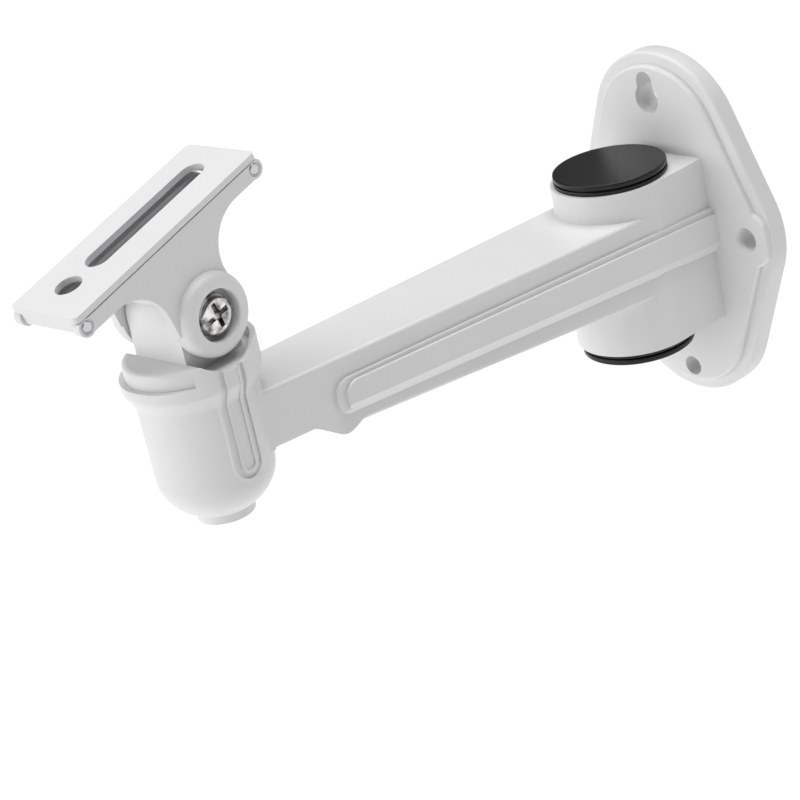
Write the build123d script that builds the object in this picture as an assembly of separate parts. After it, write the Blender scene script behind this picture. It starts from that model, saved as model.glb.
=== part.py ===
"""Wall bracket for a security camera: plate, cast arm, swivel neck and tilting head.

The origin is on the wall plate's back face, at the arm's centre. -Y points away from the
wall, along the arm, +Z is up, and all sizes are in millimetres.
"""
from build123d import *
import os
from math import cos, radians, sin

os.makedirs("parts", exist_ok=True)

# Wall plate
plate_thickness = 5.6
field_height = 1.8            # raised field inside the plate's rim
field_chamfer = 0.6
plate_x = 1.2                 # the plate's centre stands a little beside the arm's
plate_corner_r = 24.7
plate_core_x = 11.2           # the outline is a rhombus grown by plate_corner_r
plate_core_z = 26.7
plate_edge_r = 0.8
rim_width = 3.5
side_hole_x = 27.8
wall_hole_r = 2.9
wall_hole_sink = 1.5          # countersink of the side holes
pad_r = 8.5
low_hole_z = -43.5
keyhole_slot_w = 5.8
keyhole_slot_z = 43.3
keyhole_round_r = 4.2
keyhole_round_z = 38.2
plate_face = plate_thickness + field_height

# Root box and upright barrel of the arm casting
barrel_r = 17.0
barrel_y = -25.9
barrel_top = 22.7
barrel_bottom = -24.7
barrel_bore_r = 14.0
plate_screw_x = 13.0
plate_screw_z = 17.0
plate_screw_r = 2.0
plate_screw_end = -16.7
plate_screw_head_h = 2.3
plate_screw_sink = 0.2        # heads lie this far below the plate's back face
plate_screw_head_r = 4.2
plate_screw_cross = (1.6, 4.6)         # depth and size of the cross recess

# Black plugs in the barrel
cap_overhang = 1.1            # the flanges stand this far inside the barrel's side
cap_groove = 0.9
cap_flange_t = 1.1
cap_groove_t = 0.6
cap_spigot = 7.0
cap_wall = 1.85
cap_floor = 0.5
cap_edge_r = 0.5
cap_fit = 0.05
top_cap_h = 3.1
bottom_cap_h = 3.3

# Arm
arm_front_y = -162.2
arm_half_w_root = 16.6        # at the barrel's axis
arm_half_w_front = 11.2       # at arm_front_y
arm_top_root = 14.2
arm_top_front = 20.3
arm_bottom_root = -9.6
arm_edge_r = 1.2
arm_wall = 2.4
arm_reach_in = 8.0            # how far the arm runs on into the cup
# y, z of the rounded step under the arm's front end
arm_step = [(-150.4, 4.7), (-148.7, 3.8), (-143.8, 0.4), (-142.4, -0.5), (-140.9, -0.9),
            (-139.6, -0.8), (-138.4, -0.4), (-136.6, 0.4)]
pocket_spans = [(-47.0, -77.0), (-79.0, -105.0), (-107.0, -132.0)]     # ribs stand between

# Raised band along both sides of the arm, in two steps
band_step = 1.1
band_outer = (-137.8, 8.7, 4.9)        # y, z and radius of the first step's round end
band_inner = (-135.8, 8.2, 4.4)        # the same for the second step
band_outer_root = 8.05                 # upper edges at the wall plate
band_inner_root = 6.5
band_root_low = -4.9
band_root_t = 0.2                      # thin slice at the plate that the band starts from
band_flank = 3.0                       # height of the sloping lower side
band_flank_front = (-145.0, 4.3)       # y, z that the lower side's foot runs to

# Cup at the front of the arm
cup_y = -173.7
bowl_r = 15.0
bowl_z = 3.4                  # where the bowl turns from wall to bottom
bowl_drop = 12.4
foot_r = 7.4
foot_bottom = -9.5
lip_r = 17.4
lip_low = 23.6
lip_high = 28.0
belly_r = 2.5
front_wall_top = 30.8
front_cut_near = 58.0         # degrees from -Y, towards +X
front_cut_far = 115.0         # the same towards -X
rim_low = 32.4
rim_dip_r = 13.0              # the rim dips as an arc under the tilting ears
rim_dip_y = 1.6
rim_high = 35.4
cup_bore_r = 15.98
ledge_z = 27.6
cavity_r = 12.6
cavity_bottom = 1.0
collar_half_w = 12.2
collar_back_y = -163.2
collar_top = 35.3
collar_bottom = 5.3
collar_edge_r = 5.0
# Two U-shaped beads, one inside the other, down each side of the cup
bead_halves = (4.45, 2.35)    # half widths of the two U shapes
bead_width = 0.7
bead_height = 0.55            # above the bowl
bead_low_z = 2.7
panel_r = 16.5                # the lip is sunk to this radius between the beads
panel_rib_r = 17.2            # and stands up to this one inside the inner U

# Swivel neck
rest_pan = 5.2
disc_r = 15.9
disc_top = 32.3
front_seat_top = 35.3
seat_edge_r = 1.4
neck_half_w = 9.0
neck_front = 7.8
knuckle_r = 9.0
stem_r = 7.0
stem_bottom = 3.0
stem_tap = 19.0
ring_thickness = 0.8
ring_gap = 0.4                # between the ring and the cup's cavity
axial_gap = 0.05
pan_screw_r = 3.0
pan_screw_engaged = 15.2      # length of the screw inside the stem
pan_clear_r = 3.3
pan_seat_z = -3.4
pan_recess_r = 5.7
pan_washer_r = 5.2
pan_washer_t = 1.0
pan_spring_r = 4.9
pan_spring_t = 1.2
pan_head_r = 5.0
pan_head_h = 3.2
washer_clear = 0.1
spring_cut = 0.8              # width and slant of the cut in the spring washers
spring_slant = 25.0
pan_washer_top = pan_seat_z - axial_gap

# Tilting head: x across, y along the camera plate, z square to it
rest_tilt = 14.5
hinge_z = 44.9
hinge_y = 1.2                 # the tilt axis stands this far behind the pan axis
deck_y = -0.93                # centre of the camera plate's deck, seen from the hinge
deck_z = 1.2
ear_inner = 9.5
web_outer = 11.85
boss_face = 14.7
boss_r = 10.4
boss_edge_r = 2.6
recess_r = 6.4
recess_edge_r = 0.6
recess_floor = 10.6
knuckle_gap = 0.6

# Saddle and camera plate, with z counted from the deck's zero
waist_half = 9.9
waist_fillet = 11.6
flange_bottom = 17.5
flange_top = 21.5
rail_width = 2.4
head_floor_top = 19.3
body_bottom = 10.0
pocket_half_w = 6.5
pocket_half_l = 26.0
pocket_floor = 18.0
pin_y = 30.15
pin_z = 19.7
pin_r = 1.4
pin_ring_r = 1.9              # shallow ring sunk round each pin's end
pin_ring_depth = 0.4
pin_short = 0.1               # each end stands this far inside the rail's face
pin_chamfer = 0.25
rail_end_r = 2.5
rail_end_wall = 0.6           # between the round rail end and the open end of the tray
camera_plate_t = 1.6
camera_plate_gap = 0.3        # over the rails
camera_plate_half = 32.2
camera_plate_corner_r = 1.5
camera_bar = (28.3, 31.8)     # bar under each end of the plate, along y
camera_bar_low = 18.2
camera_bar_play = 0.3         # beside each rail
camera_bar_lap = 0.5          # how far the bar runs up into the plate
camera_bar_edge_r = 0.8
slot_half_w = 3.45
slot_start = -15.0
slot_end = 25.5
slot_x = -1.0
camera_hole_r = 3.5
camera_hole_y = -22.0

# Tilt screw
tilt_screw_r = 2.5
tilt_clear = 0.05
tilt_head_r = 5.3
tilt_head_h = 3.3
tilt_washer_r = 5.0
tilt_washer_t = 0.8
tilt_spring_r = 4.4
tilt_spring_t = 1.0
tilt_nut_t = 3.2
tilt_nut_flats = 8.0
tilt_screw_tip = 0.8          # screw end beyond the nut
friction_washer_r = 7.5

FAR = 100.0                   # half size of cutting tools that reach past everything


def block(x0, x1, y0, y1, z0, z1):
    """Box between two corners."""
    return Pos((x0 + x1) / 2, (y0 + y1) / 2, (z0 + z1) / 2) * Box(x1 - x0, y1 - y0, z1 - z0)


def upright(r, z0, z1, x=0.0, y=0.0):
    """Round bar along Z."""
    return Pos(x, y, (z0 + z1) / 2) * Cylinder(r, z1 - z0)


def crossbar(r, x0, x1, y=0.0, z=0.0):
    """Round bar along X."""
    return Pos((x0 + x1) / 2, y, z) * Rot(0, 90, 0) * Cylinder(r, x1 - x0)


def outward(r, y0, y1, x, z):
    """Round bar along -Y, from y0 out to y1."""
    return Pos(x, (y0 + y1) / 2, z) * Rot(90, 0, 0) * Cylinder(r, y0 - y1)


def side_prism(sketch, half_width):
    """Solid from a sketch in (y, z), as wide as 2 * half_width across X."""
    return extrude(Plane.YZ * sketch, amount=half_width, both=True)


def plan_prism(sketch, z0, z1):
    """Solid from a sketch in (x, y), between two heights."""
    return extrude(Pos(0, 0, z0) * sketch, amount=z1 - z0)


def hull_sketch(*pieces):
    """Convex hull of flat pieces."""
    return make_face(make_hull([edge for piece in pieces for edge in piece.edges()]))


def hex_bar(across_flats, x0, x1):
    """Hexagonal bar along X, centred on the hinge."""
    bar = extrude(RegularPolygon(across_flats / 2, 6, major_radius=False), amount=x1 - x0)
    return Pos(x0, 0, 0) * Rot(0, 90, 0) * bar


def split_ring(outer, inner, thickness):
    """Spring washer: a ring with a slanted cut, lying on z = 0."""
    ring = Cylinder(outer, thickness) - Cylinder(inner, thickness)
    cut = Box(outer, spring_cut, 4 * thickness)
    gap = Pos((outer + inner) / 2, 0, 0) * Rot(spring_slant, 0, 0) * cut
    return Pos(0, 0, thickness / 2) * (ring - gap)


def phillips(depth, size):
    """Cross recess pointing down from z = 0."""
    blade = Box(size, size * 0.2, 2 * depth)
    return blade + Rot(0, 0, 90) * blade + Cone(size * 0.1, size * 0.28, 2 * depth)


def pan_head(head_r, head_h):
    """Low domed screw head standing on z = 0."""
    head = Pos(0, 0, head_h / 2) * Cylinder(head_r, head_h)
    return fillet(head.edges().group_by(Axis.Z)[-1], head_h * 0.5)


def screw(shank_r, length, head_r, head_h):
    """Pan-head screw standing on z = 0 with its shank below and a cross recess on top."""
    shank = Pos(0, 0, -length / 2) * Cylinder(shank_r, length)
    shank = chamfer(shank.edges().group_by(Axis.Z)[0], shank_r * 0.3)
    return pan_head(head_r, head_h) + shank - Pos(0, 0, head_h) * phillips(head_h * 0.6, head_r * 1.25)


# ---------------------------------------------------------------- wall side

def plate_outline(inset):
    """Rounded rhombus in (x, z), drawn that far inside the plate's edge."""
    r = plate_corner_r - inset
    centres = [(plate_core_x, 0), (0, plate_core_z), (-plate_core_x, 0), (0, -plate_core_z)]
    return hull_sketch(*[Pos(plate_x + x, z) * Circle(r) for x, z in centres])


def plate_layer(sketch, depth):
    """Solid from a sketch in (x, z), from the wall out to a depth along -Y."""
    return extrude(Plane.XZ * sketch, amount=depth)


def make_wall_plate():
    """Rimmed plate with a keyhole, two side holes, a low hole and four screw seats behind."""
    plate = plate_layer(plate_outline(0), plate_thickness)
    plate = fillet(plate.edges().group_by(Axis.Y)[0], plate_edge_r)
    field = plate_layer(plate_outline(rim_width), plate_face)
    sides = [plate_x + side_hole_x, plate_x - side_hole_x]
    plate += chamfer(field.edges().group_by(Axis.Y)[0], field_chamfer)
    for x in sides:
        pad = outward(pad_r, 0, -plate_face, x, 0)
        pad = chamfer(pad.edges().group_by(Axis.Y)[0], field_chamfer)
        plate += pad & plate_layer(plate_outline(plate_edge_r), plate_face)
    through = (1, -plate_face - 1)
    for x in sides:
        plate -= outward(wall_hole_r, *through, x, 0)
        sink = Cone(wall_hole_r, wall_hole_r + wall_hole_sink, 2 * wall_hole_sink)
        plate -= Pos(x, -plate_face, 0) * Rot(90, 0, 0) * sink
    plate -= outward(wall_hole_r, *through, plate_x, low_hole_z)
    slot = hull_sketch(Pos(0, keyhole_slot_z) * Circle(keyhole_slot_w / 2),
                       Pos(0, keyhole_round_z) * Circle(keyhole_slot_w / 2))
    plate -= plate_layer(slot + Pos(0, keyhole_round_z) * Circle(keyhole_round_r), plate_face + 1)
    for x, z in plate_screw_places():
        plate -= plate_screw(x, z)
    return plate


def plate_screw_places():
    """Centres of the four screws that hold the casting to the plate."""
    return [(x, z) for x in (plate_screw_x, -plate_screw_x) for z in (plate_screw_z, -plate_screw_z)]


def plate_screw(x, z):
    """Countersunk screw from the wall side, with the room above its head."""
    head_r = plate_screw_head_r
    middle = -plate_screw_sink - plate_screw_head_h / 2
    head = Pos(x, middle, z) * Rot(90, 0, 0) * Cone(head_r, plate_screw_r, plate_screw_head_h)
    shank = outward(plate_screw_r, -plate_screw_sink, plate_screw_end, x, z)
    return head + shank + outward(head_r, plate_screw_sink, -plate_screw_sink, x, z)


def make_plate_screws():
    """The four screws, each with a cross recess."""
    screws = []
    for x, z in plate_screw_places():
        body = plate_screw(x, z) - block(-FAR, FAR, -plate_screw_sink, 1, -FAR, FAR)
        cross = Pos(x, -plate_screw_sink, z) * Rot(-90, 0, 0) * phillips(*plate_screw_cross)
        screws.append(body - cross)
    return Compound(children=screws)


def box_plan():
    """Root box and barrel seen from above."""
    box = Pos(0, (barrel_y - plate_face) / 2) * Rectangle(2 * barrel_r, -plate_face - barrel_y)
    return box + Pos(0, barrel_y) * Circle(barrel_r)


def arm_half_w(y):
    """Half width of the tapering arm."""
    share = (y - barrel_y) / (arm_front_y - barrel_y)
    return arm_half_w_root + share * (arm_half_w_front - arm_half_w_root)


def arm_plan(y0, y1, grow):
    """Arm between two distances from the wall, seen from above, grown sideways."""
    w0, w1 = arm_half_w(y0) + grow, arm_half_w(y1) + grow
    return make_face(Polyline((-w0, y0), (w0, y0), (w1, y1), (-w1, y1), close=True))


def make_arm():
    """Tapered bar with a rounded step under its front end and soft long edges."""
    end_y = arm_front_y - arm_reach_in
    outline = Polyline((barrel_y, arm_top_root), (arm_front_y, arm_top_front), (end_y, arm_top_front),
                       (end_y, collar_bottom), (arm_front_y, collar_bottom), *arm_step,
                       (barrel_y, arm_bottom_root), close=True)
    arm = plan_prism(arm_plan(barrel_y, end_y, 0), -FAR, FAR) & side_prism(make_face(outline), FAR)
    long_edges = [edge for edge in arm.edges() if abs((edge % 0.5).Y) > 0.5 and edge.length > 2 * barrel_r]
    return fillet(long_edges, arm_edge_r)


def band_layer(nose, root_high, proud):
    """One step of the raised band: a tongue that runs from the plate to a round end."""
    y, z, r = nose
    root = Polyline((-plate_face, root_high), (-plate_face, band_root_low),
                    (-plate_face - band_root_t, band_root_low), close=True)
    tongue = hull_sketch(Pos(y, z) * Circle(r), make_face(root))
    return side_prism(tongue, FAR) & plan_prism(arm_plan(-plate_face, y - 2 * r, proud), -FAR, FAR)


def band_flank_cut(sign):
    """Wedge that slopes the band's lower side, from its full height down to the arm."""
    proud = 2 * band_step
    faces = []
    for y, z in ((-plate_face, band_root_low), band_flank_front):
        w = arm_half_w(y)
        corners = [(w, z), (w + 2 * proud, z + 2 * band_flank), (w + 2 * proud, z - band_flank),
                   (w, z - band_flank)]
        faces.append(make_face(Polyline(*[(sign * x, y, z) for x, z in corners], close=True)))
    return loft(faces, ruled=True)


def make_band():
    """Raised band on both sides of the arm."""
    band = band_layer(band_outer, band_outer_root, band_step)
    band += band_layer(band_inner, band_inner_root, 2 * band_step)
    return band - band_flank_cut(1) - band_flank_cut(-1)


def arm_pockets():
    """Hollow under the arm, with two cross ribs left standing."""
    return [plan_prism(arm_plan(y0, y1, -arm_wall), -FAR, arm_top_root - arm_wall)
            for y0, y1 in pocket_spans]


def cup_outside(bowl, lip):
    """Bowl, lip and upper wall of given radii, turned about the cup's axis."""
    drop = bowl_drop + bowl - bowl_r
    bottom = EllipticalCenterArc((0, bowl_z), bowl, drop, start_angle=-90, arc_size=90)
    sides = Polyline((bowl, bowl_z), (bowl, lip_low), (lip, lip_high), (lip, rim_high),
                     (0, rim_high), bottom @ 0)
    profile = make_face([bottom, *sides.edges()])
    belly = profile.vertices().sort_by_distance((lip, lip_high))[0]
    return Pos(0, cup_y, 0) * revolve(Plane.XZ * fillet(belly, belly_r), Axis.Z)


def tongue(half):
    """Bar across the cup with a round lower end, on both of its sides at once."""
    centre_z = bead_low_z + bead_halves[0]
    legs = Pos(cup_y, (centre_z + rim_high) / 2) * Rectangle(2 * half, rim_high - centre_z)
    return side_prism(legs + Pos(cup_y, centre_z) * Circle(half), 2 * lip_r)


def make_cup():
    """Cup with its foot, the beads down its sides and the sunk panels in its lip."""
    outer, inner = bead_halves
    cup = cup_outside(bowl_r, lip_r) - (tongue(outer) - cup_outside(bowl_r, panel_r))
    cup += tongue(inner) & cup_outside(bowl_r, panel_rib_r)
    for half in bead_halves:
        bead = tongue(half) - tongue(half - bead_width)
        cup += bead & cup_outside(bowl_r + bead_height, lip_r)
    return cup + upright(foot_r, foot_bottom, bowl_z, 0, cup_y)


def front_cut():
    """Wedge that lowers the cup's wall at the front and far side, so that the seat shows."""
    angles = [front_cut_near, 0, -front_cut_far / 2, -front_cut_far]
    rim = [(2 * lip_r * sin(radians(a)), cup_y - 2 * lip_r * cos(radians(a))) for a in angles]
    return plan_prism(make_face(Polyline((0, cup_y), *rim, close=True)), front_wall_top, rim_high + 5)


def make_arm_casting():
    """One casting: root box, barrel, arm, collar and the cup that holds the neck."""
    root = plan_prism(box_plan(), barrel_bottom, barrel_top)
    collar = block(-collar_half_w, collar_half_w, cup_y, collar_back_y, collar_bottom, collar_top)
    back_edge = collar.edges().filter_by(Axis.X).group_by(Axis.Y)[-1].sort_by(Axis.Z)[-1]
    collar = fillet(back_edge, collar_edge_r)
    casting = root + make_arm() + make_band() + collar + make_cup()
    casting -= upright(barrel_bore_r, barrel_bottom - 1, barrel_top + 1, 0, barrel_y)
    casting -= arm_pockets()
    casting -= upright(cup_bore_r, ledge_z, rim_high + 5, 0, cup_y)
    casting -= upright(cavity_r, cavity_bottom, ledge_z + 1, 0, cup_y)
    casting -= upright(pan_clear_r, foot_bottom - 1, cavity_bottom + 1, 0, cup_y)
    casting -= upright(pan_recess_r, foot_bottom - 1, pan_seat_z, 0, cup_y)
    casting -= Pos(0, cup_y + rim_dip_y, rim_low + rim_dip_r) * crossbar(rim_dip_r, -FAR, FAR)
    casting -= front_cut()
    for x, z in plate_screw_places():
        casting -= outward(plate_screw_r, -plate_face + 1, plate_screw_end, x, z)
    return casting


def make_cap(height, sign):
    """Black end plug: spigot in the bore, and two flanges with a groove between them."""
    flange_r = barrel_r - cap_overhang
    groove_top = cap_flange_t + cap_groove_t
    cap = upright(flange_r, 0, cap_flange_t) + upright(flange_r - cap_groove, cap_flange_t, groove_top)
    top = upright(flange_r, groove_top, height)
    cap += fillet(top.edges().filter_by(GeomType.CIRCLE).group_by(Axis.Z)[-1], cap_edge_r)
    spigot_r = barrel_bore_r - cap_fit
    cap += upright(spigot_r, -cap_spigot, 0) - upright(spigot_r - cap_wall, -cap_spigot - 1, -cap_floor)
    turned = cap if sign > 0 else Rot(180, 0, 0) * cap
    return Pos(0, barrel_y, barrel_top if sign > 0 else barrel_bottom) * turned


# ---------------------------------------------------------------- swivel neck

def on_neck(solid):
    """Place a piece drawn about the cup's axis, turned by the rest pan angle."""
    return Pos(0, cup_y, 0) * Rot(0, 0, rest_pan) * solid


def make_swivel_neck():
    """Round seat, upright knuckle and tapped stem, in one casting."""
    seat_bottom = ledge_z + axial_gap + ring_thickness
    seat = upright(disc_r, seat_bottom, front_seat_top)
    seat = fillet(seat.edges().filter_by(GeomType.CIRCLE).group_by(Axis.Z)[-1], seat_edge_r)
    seat -= block(-FAR, FAR, -neck_front, FAR, disc_top, front_seat_top + 1)
    back = hinge_y + knuckle_r
    knuckle = block(-neck_half_w, neck_half_w, -neck_front, back, seat_bottom, hinge_z)
    knuckle += crossbar(knuckle_r, -neck_half_w, neck_half_w, hinge_y, hinge_z)
    neck = seat + knuckle + upright(stem_r, stem_bottom, seat_bottom)
    neck -= crossbar(tilt_screw_r + tilt_clear, -FAR, FAR, hinge_y, hinge_z)
    return neck - upright(pan_screw_r, stem_bottom - 1, stem_bottom + stem_tap)


def make_pan_ring():
    """Nylon ring that the seat turns on."""
    low = ledge_z + axial_gap
    high = low + ring_thickness
    return upright(disc_r, low, high) - upright(cavity_r + ring_gap, low, high)


def make_pan_washer():
    """Flat washer against the cup's floor."""
    low = pan_washer_top - pan_washer_t
    hole = upright(pan_screw_r + washer_clear, low, pan_washer_top)
    return upright(pan_washer_r, low, pan_washer_top) - hole


def make_pan_spring_washer():
    """Spring washer between the flat washer and the screw head."""
    low = pan_washer_top - pan_washer_t - pan_spring_t
    return Pos(0, 0, low) * split_ring(pan_spring_r, pan_screw_r + washer_clear, pan_spring_t)


def make_pan_screw():
    """Screw that pulls the neck down into the cup, driven from under the foot."""
    seat = pan_washer_top - pan_washer_t - pan_spring_t
    length = stem_bottom + pan_screw_engaged - seat
    return Pos(0, 0, seat) * Rot(180, 0, 0) * screw(pan_screw_r, length, pan_head_r, pan_head_h)


# ---------------------------------------------------------------- tilting head

def on_head(solid):
    """Place a piece drawn about the tilt axis at the rest tilt and pan."""
    return Pos(0, cup_y, hinge_z) * Rot(0, 0, rest_pan) * Pos(0, hinge_y, 0) * Rot(rest_tilt, 0, 0) * solid


def to_deck(solid):
    """Move a piece drawn about the deck's zero into the hinge's frame."""
    return Pos(0, deck_y, deck_z) * solid


def web_profile():
    """Side view of the saddle: round boss, waist with two arcs, and the long flange."""
    arc_y = waist_half + waist_fillet
    arc_z = flange_bottom - waist_fillet
    waist = Pos(0, flange_bottom / 2) * Rectangle(2 * arc_y, flange_bottom)
    for sign in (1, -1):
        waist -= Pos(sign * arc_y, arc_z) * Circle(waist_fillet)
        waist -= Pos(sign * arc_y, arc_z / 2) * Rectangle(2 * waist_fillet, arc_z)
    height = flange_top - flange_bottom
    flange = Pos(0, flange_bottom + height / 2) * Rectangle(2 * pin_y, height)
    ends = [Pos(sign * pin_y, pin_z) * Circle(rail_end_r) for sign in (1, -1)]
    above = Pos(0, flange_top + rail_end_r) * Rectangle(2 * FAR, 2 * rail_end_r)
    return Circle(boss_r) + Pos(deck_y, deck_z) * (waist + flange + ends - above)


def make_bosses():
    """Round boss on each ear, with a rolled outer edge and a softly rounded recess."""
    bosses = crossbar(boss_r, -boss_face, boss_face)
    bosses = fillet(bosses.edges().filter_by(GeomType.CIRCLE), boss_edge_r)
    for side in ((web_outer, boss_face), (-boss_face, -web_outer)):
        bosses -= crossbar(recess_r, *side)
    rims = [edge for edge in bosses.edges().filter_by(GeomType.CIRCLE)
            if abs(edge.radius - recess_r) < 0.01 and abs(abs(edge.center().X) - boss_face) < 0.01]
    return fillet(rims, recess_edge_r)


def make_saddle():
    """Cast saddle: two ears on the tilt screw and a shallow tray under the camera plate."""
    saddle = side_prism(web_profile(), web_outer) + make_bosses()
    saddle -= crossbar(knuckle_r + knuckle_gap, -ear_inner, ear_inner)
    saddle -= to_deck(block(-ear_inner, ear_inner, -FAR, FAR, -FAR, body_bottom))
    inside = web_outer - rail_width
    saddle -= to_deck(block(-inside, inside, -FAR, FAR, head_floor_top, flange_top + 1))
    saddle -= to_deck(block(-pocket_half_w, pocket_half_w, -pocket_half_l, pocket_half_l,
                            pocket_floor, flange_top))
    tray_end = pin_y - rail_end_r - rail_end_wall
    for sign in (1, -1):
        y0, y1 = sorted((sign * tray_end, sign * FAR))
        saddle -= to_deck(block(-inside, inside, y0, y1, body_bottom, flange_top + 1))
        saddle -= to_deck(crossbar(pin_r, -FAR, FAR, sign * pin_y, pin_z))
        x0, x1 = sorted((sign * (web_outer - pin_ring_depth), sign * FAR))
        for end in (1, -1):
            saddle -= to_deck(crossbar(pin_ring_r, x0, x1, end * pin_y, pin_z))
        saddle -= crossbar(recess_r, *sorted((sign * recess_floor, sign * FAR)))
    return saddle - crossbar(tilt_screw_r, -FAR, FAR)


def make_camera_plate():
    """Flat plate with a slot and a hole for the camera's screw, and a bar at each end."""
    low = flange_top + camera_plate_gap
    high = low + camera_plate_t
    half = camera_plate_half
    plate = block(-web_outer, web_outer, -half, half, low, high)
    plate = fillet(plate.edges().filter_by(Axis.Z), camera_plate_corner_r)
    inside = web_outer - rail_width - camera_bar_play
    for sign in (1, -1):
        y0, y1 = sorted(sign * y for y in camera_bar)
        bar = block(-inside, inside, y0, y1, camera_bar_low, low + camera_bar_lap)
        plate += fillet(bar.edges().filter_by(Axis.X).group_by(Axis.Z)[0], camera_bar_edge_r)
        plate -= crossbar(pin_r, -FAR, FAR, sign * pin_y, pin_z)
    slot = hull_sketch(Pos(slot_x, slot_start + slot_half_w) * Circle(slot_half_w),
                       Pos(slot_x, slot_end - slot_half_w) * Circle(slot_half_w))
    plate -= plan_prism(slot, low - 1, high + 1)
    return plate - upright(camera_hole_r, low - 1, high + 1, slot_x, camera_hole_y)


def make_cross_pin(sign):
    """Pin through the rails and one of the camera plate's bars."""
    end = web_outer - pin_short
    pin = crossbar(pin_r, -end, end, sign * pin_y, pin_z)
    return chamfer(pin.edges().filter_by(GeomType.CIRCLE), pin_chamfer)


def make_tilt_screw():
    """Pan-head screw through both ears, its head sunk in the near boss."""
    reach = 2 * recess_floor + tilt_washer_t + tilt_spring_t + tilt_nut_t + tilt_screw_tip
    driver = screw(tilt_screw_r, reach, tilt_head_r, tilt_head_h)
    return Pos(recess_floor, 0, 0) * Rot(0, 90, 0) * driver


def make_tilt_washer():
    """Flat washer in the far boss."""
    x0 = -recess_floor - tilt_washer_t
    hole = crossbar(tilt_screw_r + washer_clear, x0, -recess_floor)
    return crossbar(tilt_washer_r, x0, -recess_floor) - hole


def make_tilt_spring_washer():
    """Spring washer under the nut."""
    x0 = -recess_floor - tilt_washer_t - tilt_spring_t
    ring = split_ring(tilt_spring_r, tilt_screw_r + washer_clear, tilt_spring_t)
    return Pos(x0, 0, 0) * Rot(0, 90, 0) * ring


def make_tilt_nut():
    """Hexagon nut in the far boss."""
    x1 = -recess_floor - tilt_washer_t - tilt_spring_t
    return hex_bar(tilt_nut_flats, x1 - tilt_nut_t, x1) - crossbar(tilt_screw_r, x1 - tilt_nut_t, x1)


def make_tilt_friction_washer(sign):
    """Nylon washer between one ear and the knuckle."""
    x0, x1 = sorted((sign * ear_inner, sign * (neck_half_w + axial_gap)))
    return crossbar(friction_washer_r, x0, x1) - crossbar(tilt_screw_r + tilt_clear, x0, x1)


nodes = {
    "wall_plate": make_wall_plate(),
    "plate_screws": make_plate_screws(),
    "arm_casting": make_arm_casting(),
    "top_cap": make_cap(top_cap_h, 1),
    "bottom_cap": make_cap(bottom_cap_h, -1),
    "swivel_neck": on_neck(make_swivel_neck()),
    "pan_friction_ring": on_neck(make_pan_ring()),
    "pan_washer": on_neck(make_pan_washer()),
    "pan_spring_washer": on_neck(make_pan_spring_washer()),
    "pan_screw": on_neck(make_pan_screw()),
    "saddle": on_head(make_saddle()),
    "camera_plate": on_head(to_deck(make_camera_plate())),
    "front_pin": on_head(to_deck(make_cross_pin(-1))),
    "rear_pin": on_head(to_deck(make_cross_pin(1))),
    "tilt_screw": on_head(make_tilt_screw()),
    "tilt_washer": on_head(make_tilt_washer()),
    "tilt_spring_washer": on_head(make_tilt_spring_washer()),
    "tilt_nut": on_head(make_tilt_nut()),
    "tilt_friction_washer_near": on_head(make_tilt_friction_washer(1)),
    "tilt_friction_washer_far": on_head(make_tilt_friction_washer(-1)),
}

for name, solid in nodes.items():
    export_step(solid, f"parts/{name}.step")
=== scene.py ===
"""Looks of the camera wall bracket: materials, soft edges, studio light and camera.

Everything is in metres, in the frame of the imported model: +Y into the wall, +Z up.
"""
from math import cos, radians, sin

import bpy
from mathutils import Matrix, Vector

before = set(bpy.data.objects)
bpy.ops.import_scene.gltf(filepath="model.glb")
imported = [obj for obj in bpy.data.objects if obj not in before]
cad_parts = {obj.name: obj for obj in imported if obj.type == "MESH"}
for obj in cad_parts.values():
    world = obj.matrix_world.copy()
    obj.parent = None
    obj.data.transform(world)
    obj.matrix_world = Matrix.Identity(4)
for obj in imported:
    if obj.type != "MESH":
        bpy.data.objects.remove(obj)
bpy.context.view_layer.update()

PAINTED = ["wall_plate", "arm_casting", "swivel_neck", "saddle", "camera_plate"]
CAPS = ["top_cap", "bottom_cap"]
ZINC = ["plate_screws", "pan_washer", "pan_spring_washer", "pan_screw", "front_pin", "rear_pin",
        "tilt_washer", "tilt_spring_washer", "tilt_nut"]
NYLON = ["pan_friction_ring", "tilt_friction_washer_near", "tilt_friction_washer_far"]
CHROME = ["tilt_screw"]

MICRON = 1e-6

# Widths of the rounded edges
PAINTED_EDGE = 0.0005
CASTING_EDGE = 0.0003         # finer, so that the beads and the band's steps stay crisp
CAP_EDGE = 0.0002
SMALL_PART_EDGE = 0.00012

# Stage
FLOOR_SIZE = 40.0
FLOOR_Z = -0.7

# Camera: the point it looks at, its place seen from there, and its lens.
# Azimuth turns from -Y towards +X.
AIM = Vector((-0.0428, -0.0812, -0.0300))
VIEW_AZIMUTH = radians(52.7)
VIEW_ELEVATION = radians(23.7)
VIEW_ROLL = radians(-12.4)
VIEW_DISTANCE = 0.6908
FOCAL_LENGTH = 109.3
CLIP_START = 0.01

# Light: the white room, and two soft suns of the same angular width in degrees
ROOM_LIGHT = 0.15
OVERHEAD = Vector((0.0, 0.1, 1.0))
FRONT_LEFT = Vector((-0.45, -1.0, 0.15))
SOFT_ANGLE = 60
OVERHEAD_POWER = 2.9
FILL_POWER = 2.15


# ------------------------------------------------------------------ materials

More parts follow.
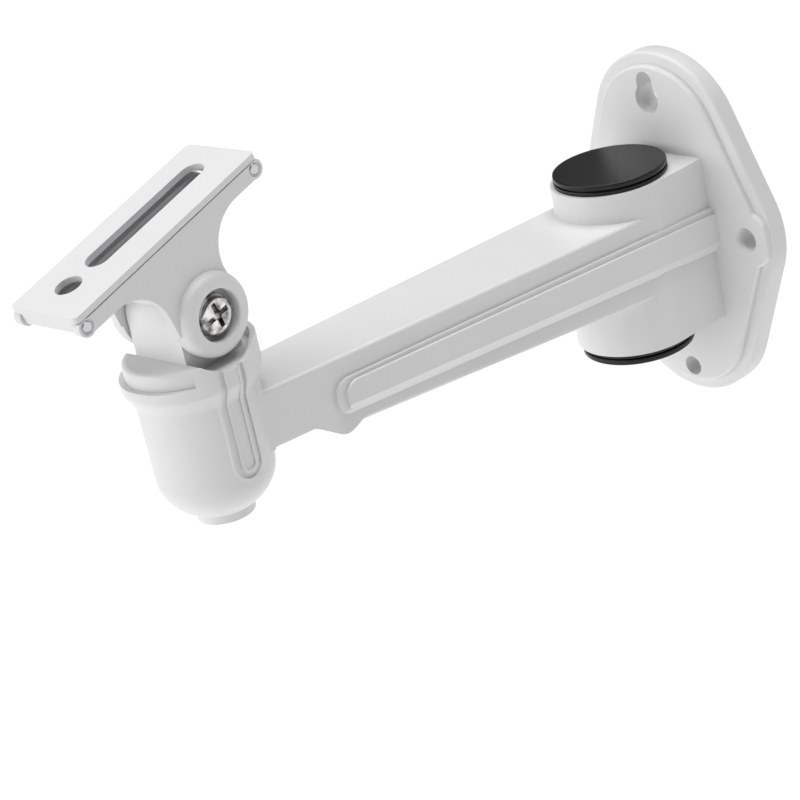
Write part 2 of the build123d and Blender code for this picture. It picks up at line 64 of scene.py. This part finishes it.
class Nodes:
    """Short calls for building one material's node tree."""

    def __init__(self, name):
        self.material = bpy.data.materials.new(name)
        self.material.use_nodes = True
        self.tree = self.material.node_tree
        self.shader = self.tree.nodes["Principled BSDF"]
        coordinates = self.tree.nodes.new("ShaderNodeTexCoord")
        self.place = coordinates.outputs["Object"]

    def add(self, kind, **values):
        """New node, with its input sockets set by name."""
        node = self.tree.nodes.new(kind)
        for key, value in values.items():
            node.inputs[key.replace("_", " ")].default_value = value
        return node

    def link(self, source, target):
        self.tree.links.new(source, target)

    def set(self, **values):
        """Constants on the shader's own sockets."""
        for key, value in values.items():
            self.shader.inputs[key.replace("_", " ")].default_value = value

    def noise(self, scale, detail=4.0, roughness=0.5, stretch=None):
        """Noise value over the object's own coordinates, drawn out along an axis if asked."""
        node = self.add("ShaderNodeTexNoise", Scale=scale, Detail=detail, Roughness=roughness)
        if stretch is None:
            self.link(self.place, node.inputs["Vector"])
        else:
            mapping = self.add("ShaderNodeMapping", Scale=stretch)
            self.link(self.place, mapping.inputs["Vector"])
            self.link(mapping.outputs["Vector"], node.inputs["Vector"])
        return node.outputs["Fac"]

    def ramp(self, value, painted_reflection_stops):
        """Colour ramp over a value, from (position, colour) pairs."""
        node = self.add("ShaderNodeValToRGB")
        elements = node.color_ramp.elements
        elements[0].position, elements[0].color = painted_reflection_stops[0][0], (*painted_reflection_stops[0][1], 1)
        elements[1].position, elements[1].color = painted_reflection_stops[-1][0], (*painted_reflection_stops[-1][1], 1)
        for position, colour in painted_reflection_stops[1:-1]:
            elements.new(position).color = (*colour, 1)
        self.link(value, node.inputs["Fac"])
        return node.outputs["Color"]

    def span(self, value, low, high, start=0.3, end=0.7):
        """A value stretched from start..end to low..high."""
        node = self.tree.nodes.new("ShaderNodeMapRange")
        for key, number in zip(("From Min", "From Max", "To Min", "To Max"), (start, end, low, high)):
            node.inputs[key].default_value = number
        self.link(value, node.inputs["Value"])
        return node.outputs["Result"]

    def bump(self, value, depth, under=None):
        """Bump of a real depth in metres, over another bump if one is given."""
        node = self.add("ShaderNodeBump", Strength=1.0, Distance=depth)
        self.link(value, node.inputs["Height"])
        if under is not None:
            self.link(under, node.inputs["Normal"])
        return node.outputs["Normal"]


def white_paint():
    """Satin powder coat: a fine orange peel, with faint cloudiness in its colour."""
    n = Nodes("white_paint")
    n.set(IOR=1.5, Coat_Weight=0.15, Coat_Roughness=0.25)
    cloud = n.noise(scale=35.0, detail=3.0)
    n.link(n.ramp(cloud, [(0.3, (0.71, 0.71, 0.715)), (0.7, (0.735, 0.735, 0.74))]),
           n.shader.inputs["Base Color"])
    grain = n.noise(scale=1500.0, detail=3.0)
    n.link(n.span(grain, low=0.36, high=0.46), n.shader.inputs["Roughness"])
    peel = n.bump(n.noise(scale=620.0, detail=2.0), depth=60 * MICRON)
    n.link(n.bump(grain, depth=20 * MICRON, under=peel), n.shader.inputs["Normal"])
    return n.material


def black_plastic():
    """Moulded plastic with a fine spark-eroded texture."""
    n = Nodes("black_plastic")
    n.set(IOR=1.48, Specular_IOR_Level=0.35)
    cloud = n.noise(scale=60.0, detail=3.0)
    n.link(n.ramp(cloud, [(0.3, (0.006, 0.006, 0.0065)), (0.7, (0.011, 0.011, 0.0115))]),
           n.shader.inputs["Base Color"])
    grain = n.noise(scale=1800.0, detail=4.0)
    n.link(n.span(grain, low=0.28, high=0.38), n.shader.inputs["Roughness"])
    n.link(n.bump(grain, depth=20 * MICRON), n.shader.inputs["Normal"])
    return n.material


def zinc_steel():
    """Zinc-plated steel: cloudy grey with fine turning marks."""
    n = Nodes("zinc_steel")
    n.set(Metallic=1.0)
    cloud = n.noise(scale=400.0, detail=5.0)
    n.link(n.ramp(cloud, [(0.3, (0.52, 0.53, 0.55)), (0.7, (0.68, 0.68, 0.69))]),
           n.shader.inputs["Base Color"])
    n.link(n.span(cloud, low=0.28, high=0.42), n.shader.inputs["Roughness"])
    marks = n.noise(scale=900.0, detail=3.0, stretch=(1.0, 6.0, 6.0))
    n.link(n.bump(marks, depth=10 * MICRON), n.shader.inputs["Normal"])
    return n.material


def chrome():
    """Bright nickel plating with slightly uneven reflections; its colour is mottled dark and light as
    painted reflections of dark and bright surroundings.
    """
    n = Nodes("chrome")
    n.set(Metallic=1.0)
    cloud = n.noise(scale=420.0, detail=3.0)
    # Painted reflection: the colour runs from dark to bright in random patches, standing in for dark
    # and bright surroundings mirrored in the plating.
    painted_reflection_stops = [(0.36, (0.16, 0.155, 0.15)), (0.5, (0.46, 0.45, 0.44)), (0.64, (0.78, 0.77, 0.76))]
    n.link(n.ramp(cloud, painted_reflection_stops), n.shader.inputs["Base Color"])
    n.link(n.span(cloud, low=0.08, high=0.16), n.shader.inputs["Roughness"])
    waves = n.noise(scale=700.0, detail=2.0)
    n.link(n.bump(waves, depth=20 * MICRON), n.shader.inputs["Normal"])
    return n.material


def nylon():
    """Natural nylon: milky, a little translucent, with faint flow marks."""
    n = Nodes("nylon")
    n.set(IOR=1.53, Subsurface_Weight=0.15, Subsurface_Scale=0.0015)
    cloud = n.noise(scale=120.0, detail=3.0)
    n.link(n.ramp(cloud, [(0.3, (0.76, 0.74, 0.68)), (0.7, (0.82, 0.80, 0.75))]),
           n.shader.inputs["Base Color"])
    n.link(n.span(cloud, low=0.40, high=0.52), n.shader.inputs["Roughness"])
    marks = n.noise(scale=800.0, detail=2.0)
    n.link(n.bump(marks, depth=10 * MICRON), n.shader.inputs["Normal"])
    return n.material


def paint_nodes(names, material):
    """Give CAD nodes one material."""
    for name in names:
        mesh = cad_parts[name].data
        mesh.materials.clear()
        mesh.materials.append(material)


def soften(names, width, segments=3, angle=35.0):
    """Round the sharp edges of CAD nodes, as casting, moulding and paint do."""
    for name in names:
        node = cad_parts[name]
        weld = node.modifiers.new("weld", "WELD")
        weld.merge_threshold = MICRON
        bevel = node.modifiers.new("soft edges", "BEVEL")
        bevel.width = width
        bevel.segments = segments
        bevel.limit_method = "ANGLE"
        bevel.angle_limit = radians(angle)
        bevel.harden_normals = True
        bevel.use_clamp_overlap = True


# ------------------------------------------------------------------ stage

def make_floor():
    """Plain pale floor well below the bracket."""
    bpy.ops.mesh.primitive_plane_add(size=FLOOR_SIZE, location=(0, 0, FLOOR_Z))
    floor = bpy.context.object
    floor.name = "floor"
    n = Nodes("floor")
    n.set(Roughness=0.9, Emission_Color=(1.0, 1.0, 1.0, 1), Emission_Strength=0.05)
    n.link(n.ramp(n.noise(scale=2.0), [(0.3, (0.86, 0.86, 0.86)), (0.7, (0.88, 0.88, 0.88))]),
           n.shader.inputs["Base Color"])
    floor.data.materials.append(n.material)


def view_axes():
    """Right, up and back directions of the camera, before its roll."""
    a, e = VIEW_AZIMUTH, VIEW_ELEVATION
    back = Vector((sin(a) * cos(e), -cos(a) * cos(e), sin(e)))
    right = Vector((cos(a), sin(a), 0))
    return right, back.cross(right), back


def make_camera():
    """Camera that looks at AIM, rolled about its own line of sight."""
    right, up, back = view_axes()
    camera = bpy.data.objects.new("camera", bpy.data.cameras.new("camera"))
    bpy.context.scene.collection.objects.link(camera)
    camera.data.lens = FOCAL_LENGTH
    camera.data.clip_start = CLIP_START
    rolled_right = right * cos(VIEW_ROLL) + up * sin(VIEW_ROLL)
    rolled_up = up * cos(VIEW_ROLL) - right * sin(VIEW_ROLL)
    axes = Matrix((rolled_right, rolled_up, back)).transposed()
    camera.matrix_world = Matrix.Translation(AIM + back * VIEW_DISTANCE) @ axes.to_4x4()
    bpy.context.scene.camera = camera


def soft_sun(name, direction, power):
    """Very soft distant light that shines from a direction."""
    light = bpy.data.objects.new(name, bpy.data.lights.new(name, "SUN"))
    light.data.angle = radians(SOFT_ANGLE)
    light.data.energy = power
    bpy.context.scene.collection.objects.link(light)
    light.rotation_mode = "QUATERNION"
    light.rotation_quaternion = direction.to_track_quat("Z", "Y")


def make_light():
    """White room, with a wide soft light overhead and a weaker one from the front and left."""
    world = bpy.data.worlds.new("studio")
    bpy.context.scene.world = world
    world.use_nodes = True
    background = world.node_tree.nodes["Background"]
    background.inputs["Color"].default_value = (1.0, 1.0, 1.0, 1)
    background.inputs["Strength"].default_value = ROOM_LIGHT
    soft_sun("overhead", OVERHEAD, OVERHEAD_POWER)
    soft_sun("front fill", FRONT_LEFT, FILL_POWER)


paint_nodes(PAINTED, white_paint())
paint_nodes(CAPS, black_plastic())
paint_nodes(ZINC, zinc_steel())
paint_nodes(CHROME, chrome())
paint_nodes(NYLON, nylon())
soften(["wall_plate", "swivel_neck", "saddle", "camera_plate"], PAINTED_EDGE)
soften(["arm_casting"], CASTING_EDGE)
soften(CAPS, CAP_EDGE, segments=2)
soften(ZINC + CHROME + NYLON, SMALL_PART_EDGE, segments=2)

make_floor()
make_camera()
make_light()
bpy.context.scene.view_settings.view_transform = "Standard"
